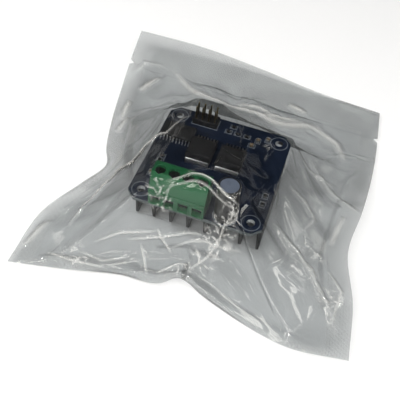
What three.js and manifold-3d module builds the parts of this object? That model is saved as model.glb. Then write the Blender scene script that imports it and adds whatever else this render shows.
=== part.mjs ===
// Dual half-bridge motor driver module, sealed in a see-through shielding bag.
// Millimetres, +Z up. The origin is on the underside of the bag, straight below the middle of the
// board, so the part rests on z = 0. +Y points from the screw terminals to the pin header.
import * as THREE from 'three';
import { mergeVertices } from 'three/addons/utils/BufferGeometryUtils.js';
import Module from 'manifold-3d';

const wasm = await Module();
wasm.setup();

// ---- driving dimensions ----
const BOARD = { size: 50, thick: 1.6, corner: 3.2 };
const HEAT_SINK = { width: 50, depth: 31, height: 19.5, base: 4.5, fins: 8, pitch: 7, tip: 1.2, root: 3.4 };
const PAD = { width: 46, depth: 27, thick: 0.5 };
const MOUNT_HOLE = { offset: 20.5, radius: 1.5, ring: 2.6, wall: 0.1, proud: 0.05, gap: 0.05 };
const TERMINAL = {
  x: -5.65, poles: 4, pitch: 5.08, end: 0.04, front: -25.6, rear: -16.8, height: 14, chamfer: 0.5,
  slope: { topInset: 3.2, footInset: 0.7, footZ: 7.9 }, ledge: { inset: 0.5, z: 7.2 },
  entry: { half: 1.75, bottom: 0.5, top: 4.9, overlap: 0.5 },
};
// The hollow behind each wire entry, and what moves or stands in it.
const CELL = { half: 2.05, front: -23.2, rear: -18.9, top: 10.5 };
const SCREW = {
  y: -20.6, thread: 1.4, head: 1.85, headZ: 11.6, headTop: 13.3, tipZ: 5.7, tipChamfer: [0.3, 0.4],
  rim: 0.2, slotHalf: 0.3, slotDepth: 0.8, slotReach: 3, threadClear: 0.25, headClear: 0.15, seat: 0.1,
};
const CAGE = {
  half: 1.95, front: -22.9, rear: -19.0, bottom: 0.7, top: 7.2, floor: 0.6, roof: 0.9, side: 0.4,
  screwClear: 0.1,
};
const CONTACT = {
  half: 1.3, top: 5.6, thick: 0.7, legThick: 0.7, legHalf: 0.5, legInset: 1.5, legBottom: 0.3,
  barOverhang: 0.1, pinTop: 0.6, clear: [0.2, 0.6, 0.3], slotOverlap: 0.5,
};
const HEADER = {
  x: -9.7, y: 20.75, columns: 4, rows: 2, pitch: 2.54, base: 2.5, notch: 0.35, clear: 0.04,
  pin: 0.64, tip: 8.5, point: 0.5, pointHalf: 0.12,
};
const CAPACITOR = {
  x: 11.2, y: -21, radius: 4, height: 16.4, stand: 0.3, sides: 28, leadPitch: 3.5, leadRadius: 0.3,
  leadTop: 0.3, leadSides: 8, wrap: 0.12, slip: 0.03, groove: { z: 2.1, half: 0.5, depth: 0.35 },
  canWall: 0.4, shoulder: 0.3, foldIn: 0.75, foot: { inset: 0.45, round: 0.2 }, rimRound: 0.35,
  bung: { bottom: 0.15, top: 1.2, gap: 0.1, wellTop: 0.6, wellSides: 10, leadClear: 0.04 },
};
const POWER_CHIP = {
  width: 10, depth: 9.2, height: 4.4, places: [-6.05, 5.55], y: 3.4, lift: 0.1, draft: 0.35,
  tab: { reach: 1.3, inset: 0.5, thick: 1.3 }, leads: 7, pitch: 1.27,
  lead: { buried: 0.6, out: 1.5, foot: 4.6, exitZ: 2.4, thick: 0.5, width: 0.6 },
};
const BUFFER_CHIP = {
  x: -17.6, y: 10.4, length: 12.8, width: 7.5, height: 2.4, lift: 0.15, draft: 0.3, leads: 10, pitch: 1.27,
  lead: { buried: 0.5, out: 0.4, foot: 1.4, exitZ: 1.45, thick: 0.25, width: 0.42 },
  dimple: { radius: 0.5, depth: 0.12, inset: 1.3, y: 2.4 },
};
const PIN_BELOW = 2.4;
// Drilled holes in the board, as [radius, sides].
const DRILL = { headerPin: [0.55, 8], contact: [0.8, 10], capacitorLead: [0.45, 8] };
const ROUND_SIDES = 24;
// How far a cutting shape reaches past what it cuts.
const PAST = 1;
const FILM = { thick: 0.3, gap: 0.45, cells: 18 };

const finTips = FILM.thick + FILM.gap;
const padBottom = finTips + HEAT_SINK.height;
const boardBottom = padBottom + PAD.thick;
const boardTop = boardBottom + BOARD.thick;

const paint = {
  solderMask: { color: 0x141c2a, roughness: 0.45, metalness: 0.0 },
  blackAluminium: { color: 0x2a2b2c, roughness: 0.5, metalness: 0.8 },
  bareMetal: { color: 0xb9bcc0, roughness: 0.3, metalness: 1.0 },
  gold: { color: 0xa58b4d, roughness: 0.35, metalness: 1.0 },
  moulding: { color: 0x121214, roughness: 0.6, metalness: 0.0 },
  greenPlastic: { color: 0x2c6b3c, roughness: 0.4, metalness: 0.0 },
  sleeve: { color: 0x1d1f24, roughness: 0.35, metalness: 0.0 },
  rubber: { color: 0x1a1a1a, roughness: 0.9, metalness: 0.0 },
  pad: { color: 0x8c8f94, roughness: 0.9, metalness: 0.0 },
  ceramic: { color: 0x8d7a5e, roughness: 0.6, metalness: 0.0 },
  film: { color: 0x9a9fa0, roughness: 0.15, metalness: 0.0, transparent: true, opacity: 0.35 },
};

const driver = new THREE.Group();

function place(name, geometry, look, x = 0, y = 0, z = 0) {
  const mesh = new THREE.Mesh(geometry, new THREE.MeshStandardMaterial(look));
  mesh.name = name;
  mesh.position.set(x, y, z);
  driver.add(mesh);
  return mesh;
}

// ---- solids from geometries ----
function solid(geometry) {
  const bare = geometry.clone();
  bare.deleteAttribute('normal');
  bare.deleteAttribute('uv');
  const merged = mergeVertices(bare, 1e-4);
  return new wasm.Manifold(new wasm.Mesh({
    numProp: 3,
    vertProperties: new Float32Array(merged.attributes.position.array),
    triVerts: new Uint32Array(merged.index.array),
  }));
}

function geometryOf(body) {
  const mesh = body.getMesh();
  const geometry = new THREE.BufferGeometry();
  geometry.setAttribute('position', new THREE.BufferAttribute(mesh.vertProperties, 3));
  geometry.setIndex(new THREE.BufferAttribute(mesh.triVerts, 1));
  return geometry;
}

function joined(geometries) {
  return geometryOf(geometries.map(solid).reduce((whole, piece) => whole.add(piece)));
}

function cut(geometry, tools) {
  return geometryOf(tools.map(solid).reduce((whole, tool) => whole.subtract(tool), solid(geometry)));
}

function box(x0, x1, y0, y1, z0, z1) {
  const geometry = new THREE.BoxGeometry(x1 - x0, y1 - y0, z1 - z0);
  return geometry.translate((x0 + x1) / 2, (y0 + y1) / 2, (z0 + z1) / 2);
}

function upright(radius, z0, z1, sides, x = 0, y = 0) {
  const geometry = new THREE.CylinderGeometry(radius, radius, z1 - z0, sides);
  return geometry.rotateX(Math.PI / 2).translate(x, y, (z0 + z1) / 2);
}

// A closed profile of [radius, height] pairs turned about Z.
function turned(profile, sides) {
  const points = [...profile, profile[0]].map(([r, z]) => new THREE.Vector2(r, z));
  return new THREE.LatheGeometry(points, sides).rotateX(Math.PI / 2);
}

function outline(points) {
  return new THREE.Shape(points.map(([a, b]) => new THREE.Vector2(a, b)));
}

// A profile of [y, z] pairs drawn out along X, centred on x = 0.
function alongX(points, width) {
  const geometry = new THREE.ExtrudeGeometry(outline(points), { depth: width, bevelEnabled: false });
  return geometry.rotateX(Math.PI / 2).rotateZ(Math.PI / 2).translate(-width / 2, 0, 0);
}

// A profile of [x, z] pairs drawn out along Y, centred on y = 0.
function alongY(points, depth) {
  const geometry = new THREE.ExtrudeGeometry(outline(points), { depth, bevelEnabled: false });
  return geometry.rotateX(Math.PI / 2).translate(0, depth / 2, 0);
}

function roundHole(x, y, radius, sides) {
  const points = [];
  for (let i = 0; i < sides; i += 1) {
    const turn = (2 * Math.PI * i) / sides;
    points.push(new THREE.Vector2(x + radius * Math.cos(turn), y + radius * Math.sin(turn)));
  }
  return new THREE.Path(points);
}

function evenly(count, pitch) {
  return Array.from({ length: count }, (_, i) => (i - (count - 1) / 2) * pitch);
}

// A moulded block with a drafted rim: widest at its mid height.
function mouldedBlock(width, depth, z0, z1, draft) {
  const halfW = width / 2;
  const halfD = depth / 2;
  const middle = (z0 + z1) / 2;
  const across = alongX([
    [-halfD + draft, z0], [halfD - draft, z0], [halfD, middle],
    [halfD - draft, z1], [-halfD + draft, z1], [-halfD, middle],
  ], width);
  const along = alongY([
    [-halfW + draft, z0], [halfW - draft, z0], [halfW, middle],
    [halfW - draft, z1], [-halfW + draft, z1], [-halfW, middle],
  ], depth);
  return geometryOf(solid(across).intersect(solid(along)));
}

// ---- places shared by the board and what stands in it ----
const cornerSigns = [[-1, -1], [1, -1], [1, 1], [-1, 1]];
const corners = cornerSigns.map(([sx, sy]) => [sx * MOUNT_HOLE.offset, sy * MOUNT_HOLE.offset]);
const poleX = evenly(TERMINAL.poles, TERMINAL.pitch).map((offset) => TERMINAL.x + offset);
const contactLegY = TERMINAL.rear - CONTACT.legInset;
const pinPlaces = evenly(HEADER.rows, HEADER.pitch).flatMap((dy) => (
  evenly(HEADER.columns, HEADER.pitch).map((dx) => [HEADER.x + dx, HEADER.y + dy])
));
const capacitorLeads = evenly(2, CAPACITOR.leadPitch).map((dx) => [CAPACITOR.x + dx, CAPACITOR.y]);

// ---- board ----
function circuitBoard() {
  const half = BOARD.size / 2;
  const inner = half - BOARD.corner;
  const shape = outline([
    [-inner, -half], [inner, -half], [half, -inner], [half, inner],
    [inner, half], [-inner, half], [-half, inner], [-half, -inner],
  ]);
  const barrel = MOUNT_HOLE.radius + MOUNT_HOLE.wall + MOUNT_HOLE.gap;
  corners.forEach(([x, y]) => shape.holes.push(roundHole(x, y, barrel, ROUND_SIDES)));
  pinPlaces.forEach(([x, y]) => shape.holes.push(roundHole(x, y, ...DRILL.headerPin)));
  poleX.forEach((x) => shape.holes.push(roundHole(x, contactLegY, ...DRILL.contact)));
  capacitorLeads.forEach(([x, y]) => shape.holes.push(roundHole(x, y, ...DRILL.capacitorLead)));
  return new THREE.ExtrudeGeometry(shape, { depth: BOARD.thick, bevelEnabled: false });
}
place('circuit_board', circuitBoard(), paint.solderMask, 0, 0, boardBottom);

// The plated rim of a mounting hole: a ring on each face joined by the barrel in the hole.
function mountRing() {
  const { radius, ring, wall, proud } = MOUNT_HOLE;
  return turned([
    [radius, -proud], [ring, -proud], [ring, 0], [radius + wall, 0],
    [radius + wall, BOARD.thick], [ring, BOARD.thick],
    [ring, BOARD.thick + proud], [radius, BOARD.thick + proud],
  ], ROUND_SIDES);
}
const cornerNames = ['front_left', 'front_right', 'rear_right', 'rear_left'];
corners.forEach(([x, y], i) => {
  place(`mount_ring_${cornerNames[i]}`, mountRing(), paint.solderMask, x, y, boardBottom);
});

// ---- heat sink under the board ----
function heatSinkProfile() {
  const { width, height, base, fins, pitch, tip, root } = HEAT_SINK;
  const half = width / 2;
  const rootZ = height - base;
  const points = [[half, height], [-half, height]];
  evenly(fins, pitch).forEach((x, i) => {
    const first = i === 0;
    const last = i === fins - 1;
    if (!first) points.push([x - root / 2, rootZ]);
    points.push([first ? -half : x - tip / 2, 0]);
    points.push([last ? half : x + tip / 2, 0]);
    if (!last) points.push([x + root / 2, rootZ]);
  });
  return points;
}
place('heat_sink', alongY(heatSinkProfile(), HEAT_SINK.depth), paint.blackAluminium, 0, 0, finTips);
place(
  'thermal_pad',
  box(-PAD.width / 2, PAD.width / 2, -PAD.depth / 2, PAD.depth / 2, 0, PAD.thick),
  paint.pad, 0, 0, padBottom,
);

// ---- chips ----
// A bent lead, as a [y, z] strip: out of the moulding at y = side, down to the board, then flat
// as a foot.
const LEAD_RAKE = 0.35;
const LEAD_KNEE_SHARE = 0.7;
function bentLead(side, { buried, out, foot, exitZ, thick, width }) {
  const inside = side - buried;
  const bend = side + out;
  const heel = bend + LEAD_RAKE;
  const toe = side + foot;
  const knee = thick * LEAD_KNEE_SHARE;
  return alongX([
    [inside, exitZ], [bend, exitZ], [heel, thick], [toe, thick], [toe, 0],
    [heel - knee, 0], [bend - knee, exitZ - thick], [inside, exitZ - thick],
  ].reverse(), width);
}

function powerChip() {
  const { width, depth, height, lift, draft, tab, leads, pitch, lead } = POWER_CHIP;
  const pieces = [mouldedBlock(width, depth, lift, height, draft)];
  const tabHalf = width / 2 - tab.inset;
  pieces.push(box(-tabHalf, tabHalf, -depth / 2 - tab.reach, 0, 0, tab.thick));
  evenly(leads, pitch).forEach((x) => pieces.push(bentLead(depth / 2, lead).translate(x, 0, 0)));
  return joined(pieces);
}
['left', 'right'].forEach((hand, i) => {
  const x = POWER_CHIP.places[i];
  place(`power_chip_${hand}`, powerChip(), paint.moulding, x, POWER_CHIP.y, boardTop);
});

function bufferChip() {
  const { length, width, height, lift, draft, leads, pitch, lead, dimple } = BUFFER_CHIP;
  const pieces = [mouldedBlock(length, width, lift, height, draft)];
  evenly(leads, pitch).forEach((x) => {
    pieces.push(bentLead(width / 2, lead).translate(x, 0, 0));
    pieces.push(bentLead(width / 2, lead).rotateZ(Math.PI).translate(x, 0, 0));
  });
  const dimpleX = length / 2 - dimple.inset;
  const hollow = upright(
    dimple.radius, height - dimple.depth, height + PAST, ROUND_SIDES / 2, dimpleX, dimple.y,
  );
  return cut(joined(pieces), [hollow]);
}
place('buffer_chip', bufferChip(), paint.moulding, BUFFER_CHIP.x, BUFFER_CHIP.y, boardTop);

// ---- pin header ----
function headerBase() {
  const { columns, rows, pitch, base, notch, clear, pin } = HEADER;
  const halfX = (columns * pitch) / 2;
  const halfY = (rows * pitch) / 2;
  const edge = [[-halfX, -halfY + notch]];
  evenly(columns, pitch).forEach((x) => {
    const half = pitch / 2;
    edge.push([x - half + notch, -halfY], [x + half - notch, -halfY], [x + half, -halfY + notch]);
  });
  const shape = outline([...edge, ...edge.map(([x, y]) => [-x, -y])]);
  const hole = pin / 2 + clear;
  const block = new THREE.ExtrudeGeometry(shape, { depth: base, bevelEnabled: false });
  return cut(block, pinPlaces.map(([px, py]) => {
    const x = px - HEADER.x;
    const y = py - HEADER.y;
    return box(x - hole, x + hole, y - hole, y + hole, -PAST, base + PAST);
  }));
}
place('header_base', headerBase(), paint.moulding, HEADER.x, HEADER.y, boardTop);

function headerPin() {
  const { pin, tip, point, pointHalf } = HEADER;
  const half = pin / 2;
  const below = BOARD.thick + PIN_BELOW;
  const profile = [
    [-pointHalf, -below], [pointHalf, -below], [half, -below + point], [half, tip - point],
    [pointHalf, tip], [-pointHalf, tip], [-half, tip - point], [-half, -below + point],
  ];
  return geometryOf(solid(alongX(profile, pin)).intersect(solid(alongY(profile, pin))));
}
pinPlaces.forEach(([x, y], i) => place(`header_pin_${i + 1}`, headerPin(), paint.gold, x, y, boardTop));

// ---- screw terminals ----
function terminalHousing() {
  const { front, rear, height, poles, pitch, end, chamfer, slope, ledge, entry } = TERMINAL;
  const body = alongX([
    [front, 0], [rear, 0], [rear, height - chamfer], [rear - chamfer, height],
    [front + slope.topInset, height], [front + slope.footInset, slope.footZ],
    [front + ledge.inset, ledge.z], [front, ledge.z],
  ], poles * pitch + 2 * end);
  const [clearX, clearY, clearZ] = CONTACT.clear;
  const slotHalf = CONTACT.half + clearX;
  const slotFront = CELL.rear - CONTACT.slotOverlap;
  const boreTop = height + PAST;
  const tools = evenly(poles, pitch).flatMap((x) => [
    box(x - entry.half, x + entry.half, front - PAST, CELL.front + entry.overlap, entry.bottom, entry.top),
    box(x - CELL.half, x + CELL.half, CELL.front, CELL.rear, -PAST, CELL.top),
    box(x - slotHalf, x + slotHalf, slotFront, contactLegY + clearY, -PAST, CONTACT.top + clearZ),
    upright(SCREW.thread + SCREW.threadClear, CELL.top - PAST, boreTop, ROUND_SIDES, x, SCREW.y),
    upright(SCREW.head + SCREW.headClear, SCREW.headZ - SCREW.seat, boreTop, ROUND_SIDES, x, SCREW.y),
  ]);
  return cut(body, tools);
}
place('terminal_housing', terminalHousing(), paint.greenPlastic, TERMINAL.x, 0, boardTop);

// A slotted screw. Its tip bears on the fixed contact, and its thread lifts the clamp.
function terminalScrew() {
  const { thread, head, headZ, headTop, tipZ, tipChamfer, rim, slotHalf, slotDepth, slotReach } = SCREW;
  const [chamferIn, chamferUp] = tipChamfer;
  const body = turned([
    [0, tipZ], [thread - chamferIn, tipZ], [thread, tipZ + chamferUp], [thread, headZ],
    [head, headZ], [head, headTop - rim], [head - rim, headTop], [0, headTop],
  ], ROUND_SIDES);
  const slotFloor = headTop - slotDepth;
  return cut(body, [box(-slotHalf, slotHalf, -slotReach, slotReach, slotFloor, headTop + PAST)]);
}

// A square tube open to the front and rear, with the screw through its top wall.
function wireClamp() {
  const { half, front, rear, bottom, top, floor, roof, side: sideWall, screwClear } = CAGE;
  const window = half - sideWall;
  const tube = box(-half, half, front, rear, bottom, top);
  return cut(tube, [
    box(-window, window, front - PAST, rear + PAST, bottom + floor, top - roof),
    upright(SCREW.thread + screwClear, top - 2 * PAST, top + PAST, ROUND_SIDES, 0, SCREW.y),
  ]);
}

// The fixed contact: a bar inside the clamp, a leg down the back and a pin through the board.
function contactPin() {
  const { half, top, thick, legThick, legHalf, legBottom, barOverhang, pinTop } = CONTACT;
  const legFront = contactLegY - legThick / 2;
  const legRear = contactLegY + legThick / 2;
  return joined([
    box(-half, half, CAGE.front - barOverhang, legRear, top - thick, top),
    box(-half, half, legFront, legRear, legBottom, top),
    box(-legHalf, legHalf, legFront, legRear, -BOARD.thick - PIN_BELOW, pinTop),
  ]);
}
poleX.forEach((x, i) => {
  place(`terminal_screw_${i + 1}`, terminalScrew(), paint.bareMetal, x, SCREW.y, boardTop);
  place(`wire_clamp_${i + 1}`, wireClamp(), paint.bareMetal, x, 0, boardTop);
  place(`contact_pin_${i + 1}`, contactPin(), paint.bareMetal, x, 0, boardTop);
});

// ---- electrolytic capacitor ----
const capacitorBottom = boardTop + CAPACITOR.stand;
const canRadius = CAPACITOR.radius - CAPACITOR.wrap - CAPACITOR.slip;

// The rolled groove near the foot, as the three [radius, height] pairs of a wall at a radius.
function groove(radius) {
  const { z, half, depth } = CAPACITOR.groove;
  return [[radius, z - half], [radius - depth, z], [radius, z + half]];
}

function capacitorCan() {
  const { height, wrap, slip, canWall, shoulder, bung } = CAPACITOR;
  const lip = wrap + slip;
  const inner = canRadius - canWall;
  const ceiling = bung.top + bung.gap;
  return turned([
    [0, ceiling], [inner, ceiling], [inner, lip], [canRadius, lip], ...groove(canRadius),
    [canRadius, height - lip - shoulder], [canRadius - shoulder, height - lip], [0, height - lip],
  ], CAPACITOR.sides);
}

function capacitorSleeve() {
  const { radius, height, wrap, shoulder, foldIn, foot, rimRound } = CAPACITOR;
  const inner = radius - wrap;
  const mouth = inner - foot.inset;
  const underFold = height - wrap;
  return turned([
    [mouth, 0], [radius - foot.round, 0], [radius, foot.round], ...groove(radius),
    [radius, height - rimRound], [radius - rimRound, height], [radius - foldIn, height],
    [radius - foldIn, underFold], [inner - shoulder, underFold], [inner, underFold - shoulder],
    ...groove(inner).reverse(), [inner, wrap], [mouth, wrap],
  ], CAPACITOR.sides);
}

function capacitorBung() {
  const { canWall, leadPitch, leadRadius, bung } = CAPACITOR;
  const body = upright(canRadius - canWall - bung.gap, bung.bottom, bung.top, ROUND_SIDES);
  return cut(body, evenly(2, leadPitch).map((dx) => (
    upright(leadRadius + bung.leadClear, -PAST, bung.wellTop, bung.wellSides, dx, 0)
  )));
}
place('capacitor_can', capacitorCan(), paint.bareMetal, CAPACITOR.x, CAPACITOR.y, capacitorBottom);
place('capacitor_sleeve', capacitorSleeve(), paint.sleeve, CAPACITOR.x, CAPACITOR.y, capacitorBottom);
place('capacitor_bung', capacitorBung(), paint.rubber, CAPACITOR.x, CAPACITOR.y, capacitorBottom);
capacitorLeads.forEach(([x, y], i) => {
  const { stand, leadRadius, leadTop, leadSides } = CAPACITOR;
  const lead = upright(leadRadius, -stand - BOARD.thick - PIN_BELOW, leadTop, leadSides);
  place(`capacitor_lead_${i + 1}`, lead, paint.bareMetal, x, y, capacitorBottom);
});

// ---- small surface-mount parts ----
// A ceramic block with a metal cap on each end, the cap as thick as its rim.
const CAP = { share: 0.2, rim: 0.03, end: 0.05 };
function chipPart(length, width, height) {
  const halfL = length / 2;
  const capInside = halfL - length * CAP.share;
  const halfW = width / 2 + CAP.rim;
  return joined([
    box(-halfL + CAP.end, halfL - CAP.end, -width / 2, width / 2, CAP.rim, height),
    box(-halfL, -capInside, -halfW, halfW, 0, height + CAP.rim),
    box(capInside, halfL, -halfW, halfW, 0, height + CAP.rim),
  ]);
}
const resistorSize = [2, 1.25, 0.5];
const ceramicSize = [2, 1.25, 0.9];
const resistors = [
  [-19.4, -2.6, 0], [-19.4, -5.0, 0], [22.2, -7, 1], [22.2, -11.2, 1],
  [0.2, 19.2, 0], [4, 19.2, 0], [7.8, 19.2, 0], [1.5, 22.4, 0],
];
const ceramics = [[-20.2, -12, 1], [12.4, 18.6, 1], [10.7, 15.3, 0], [16, 20.5, 1]];
resistors.forEach(([x, y, quarter], i) => {
  const mesh = place(`resistor_${i + 1}`, chipPart(...resistorSize), paint.moulding, x, y, boardTop);
  mesh.rotation.z = (quarter * Math.PI) / 2;
});
ceramics.forEach(([x, y, quarter], i) => {
  const mesh = place(`ceramic_${i + 1}`, chipPart(...ceramicSize), paint.ceramic, x, y, boardTop);
  mesh.rotation.z = (quarter * Math.PI) / 2;
});

// ---- shielding bag ----
// The bag's outline from above, one curve a side, as [x, y, height of the seam].
const side = {
  near: [[-58.7, -54.2, 1], [-38, -49.6, 1], [-19, -44.7, 1], [-4, -44, 3], [2.5, -41, 6],
    [11, -43, 3], [24, -46.3, 1], [45, -51, 2], [64.4, -51, 7]],
  tear: [[-59.6, 59, 7], [-30, 61.5, 8], [0, 63, 6], [30, 64, 2], [59.5, 64, 1]],
  far: [[-62, 80.6, 10], [-30, 83, 8], [0, 83.5, 4], [30, 81.5, 1], [58.3, 79, 1]],
  left: [[-58.7, -54.2, 1], [-57, -30, 3], [-47.4, -14.8, 7], [-42, -5, 9], [-46, 4, 8],
    [-52, 22.5, 5], [-56.5, 43, 5], [-59.6, 59, 7]],
  right: [[64.4, -51, 7], [62.5, -30, 6], [57, -7.3, 6], [58.8, 10.4, 7], [60.4, 33, 3],
    [60.5, 49, 1], [59.5, 64, 1]],
};
function curve(points) {
  return new THREE.CatmullRomCurve3(points.map((p) => new THREE.Vector3(...p)));
}
const seam = Object.fromEntries(Object.entries(side).map(([name, points]) => [name, curve(points)]));

// The surface spanned by four seam curves, u across and v from near to far.
function spanned(near, far, left, right, u, v) {
  const across = near.getPoint(u).lerp(far.getPoint(u), v);
  const along = left.getPoint(v).lerp(right.getPoint(v), u);
  const nearLine = near.getPoint(0).lerp(near.getPoint(1), u);
  const farLine = far.getPoint(0).lerp(far.getPoint(1), u);
  return across.add(along).sub(nearLine.lerp(farLine, v));
}

// What holds the top film up: [x0, x1, y0, y1, height], each with a sloping skirt around it.
const filmClear = 3;
const FOOTPRINT = { marginX: 3, marginY: 8, riseReach: 12 };
const SEAM_LIFT = 1;
const STRIP_ROWS = 3;
const supports = [
  [-25, 25, -25, 25, boardTop],
  [-16, 5, -24, -16.8, boardTop + TERMINAL.height],
  [-16, 5, -28, -24, boardTop + 8],
  [7, 15.4, -25, -17, boardTop + CAPACITOR.height + 1],
  [-15, -4.5, 18, 23.5, boardTop + HEADER.tip],
  [-24, 11, -4, 17, boardTop + POWER_CHIP.height],
];
const skirtSlope = 1.05;
const skirtMargin = 3.5;
function drapeHeight(x, y) {
  const heights = supports.map(([x0, x1, y0, y1, top]) => {
    const dx = Math.max(x0 - x, x - x1, 0);
    const dy = Math.max(y0 - y, y - y1, 0);
    return top + filmClear - skirtSlope * Math.max(Math.hypot(dx, dy) - skirtMargin, 0);
  });
  return Math.max(...heights);
}

// A thin sheet over a grid of points, the same cell diagonals on both faces.
function sheet(cellsAcross, cellsAlong, pointAt) {
  const columns = cellsAcross + 1;
  const faceSize = columns * (cellsAlong + 1);
  const positions = [];
  [-0.5, 0.5].forEach((level) => {
    for (let index = 0; index < faceSize; index += 1) {
      const across = index % columns;
      const point = pointAt(across / cellsAcross, (index - across) / columns / cellsAlong);
      positions.push(point.x, point.y, point.z + level * FILM.thick);
    }
  });
  const triangles = [];
  for (let index = 0; index < faceSize - columns; index += 1) {
    if (index % columns === cellsAcross) continue;
    const [a, b, c, d] = [index, index + 1, index + columns, index + columns + 1];
    triangles.push(a, c, b, b, c, d);
    triangles.push(a + faceSize, b + faceSize, c + faceSize, b + faceSize, d + faceSize, c + faceSize);
  }
  const last = faceSize - 1;
  const rim = [
    ...Array.from({ length: cellsAcross }, (_, i) => i),
    ...Array.from({ length: cellsAlong }, (_, i) => cellsAcross + i * columns),
    ...Array.from({ length: cellsAcross }, (_, i) => last - i),
    ...Array.from({ length: cellsAlong }, (_, i) => last - cellsAcross - i * columns),
  ];
  rim.forEach((from, i) => {
    const to = rim[(i + 1) % rim.length];
    triangles.push(from, to, to + faceSize, from, to + faceSize, from + faceSize);
  });
  const geometry = new THREE.BufferGeometry();
  geometry.setAttribute('position', new THREE.Float32BufferAttribute(positions, 3));
  geometry.setIndex(triangles);
  return geometry;
}

const filmMiddle = FILM.thick / 2;
const filmPitch = 2 * FILM.thick;
function bottomPoint(u, v) {
  const point = spanned(seam.near, seam.tear, seam.left, seam.right, u, v);
  const dx = Math.max(Math.abs(point.x) - HEAT_SINK.width / 2 - FOOTPRINT.marginX, 0);
  const dy = Math.max(Math.abs(point.y) - HEAT_SINK.depth / 2 - FOOTPRINT.marginY, 0);
  const rise = point.z * THREE.MathUtils.smoothstep(Math.hypot(dx, dy), 0, FOOTPRINT.riseReach);
  point.z = filmMiddle + rise;
  return point;
}
function topPoint(u, v) {
  const point = bottomPoint(u, v);
  const onSeam = u === 0 || u === 1 || v === 0;
  const raised = onSeam ? point.z : Math.max(point.z + SEAM_LIFT, drapeHeight(point.x, point.y));
  point.z = raised + filmPitch;
  return point;
}
function stripPoint(u, v) {
  const point = spanned(seam.tear, seam.far, curve([side.tear[0], side.far[0]]),
    curve([side.tear.at(-1), side.far.at(-1)]), u, v);
  point.y += FILM.thick;
  point.z += filmMiddle + filmPitch / 2;
  return point;
}
place('bag_bottom_film', sheet(FILM.cells, FILM.cells, bottomPoint), paint.film);
place('bag_top_film', sheet(FILM.cells, FILM.cells, topPoint), paint.film);
place('bag_tear_strip', sheet(FILM.cells, STRIP_ROWS, stripPoint), paint.film);

export default driver;
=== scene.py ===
"""A motor driver module sealed in a see-through shielding bag.

Metres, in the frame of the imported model: +Z up, +Y from the screw terminals to the pin header,
z = 0 on the underside of the bag. Lengths written with `* MM` are millimetres.
"""
import math

import bmesh
import bpy
import numpy as np
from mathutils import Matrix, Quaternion, Vector


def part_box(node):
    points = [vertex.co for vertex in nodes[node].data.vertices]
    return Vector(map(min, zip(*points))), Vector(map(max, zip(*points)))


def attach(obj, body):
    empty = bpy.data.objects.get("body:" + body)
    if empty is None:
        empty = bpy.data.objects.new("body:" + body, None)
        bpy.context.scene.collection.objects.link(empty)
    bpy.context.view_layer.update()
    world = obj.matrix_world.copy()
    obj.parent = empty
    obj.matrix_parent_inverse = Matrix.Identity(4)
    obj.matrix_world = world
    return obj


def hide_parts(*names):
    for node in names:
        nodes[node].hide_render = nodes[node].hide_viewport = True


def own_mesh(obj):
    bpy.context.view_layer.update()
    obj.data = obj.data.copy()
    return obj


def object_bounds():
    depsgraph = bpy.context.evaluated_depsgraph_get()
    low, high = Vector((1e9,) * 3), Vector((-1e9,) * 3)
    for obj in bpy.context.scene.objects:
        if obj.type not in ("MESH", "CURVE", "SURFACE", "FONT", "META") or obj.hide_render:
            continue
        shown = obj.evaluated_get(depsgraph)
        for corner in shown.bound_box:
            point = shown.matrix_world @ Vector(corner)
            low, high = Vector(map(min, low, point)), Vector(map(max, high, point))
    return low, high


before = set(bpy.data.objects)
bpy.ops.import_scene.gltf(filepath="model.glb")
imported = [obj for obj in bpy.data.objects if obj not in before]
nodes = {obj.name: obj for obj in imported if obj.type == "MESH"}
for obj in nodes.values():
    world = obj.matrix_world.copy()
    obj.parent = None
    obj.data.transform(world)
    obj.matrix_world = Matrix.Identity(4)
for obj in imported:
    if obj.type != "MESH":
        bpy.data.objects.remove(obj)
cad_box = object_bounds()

MM = 0.001
scene = bpy.context.scene


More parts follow.
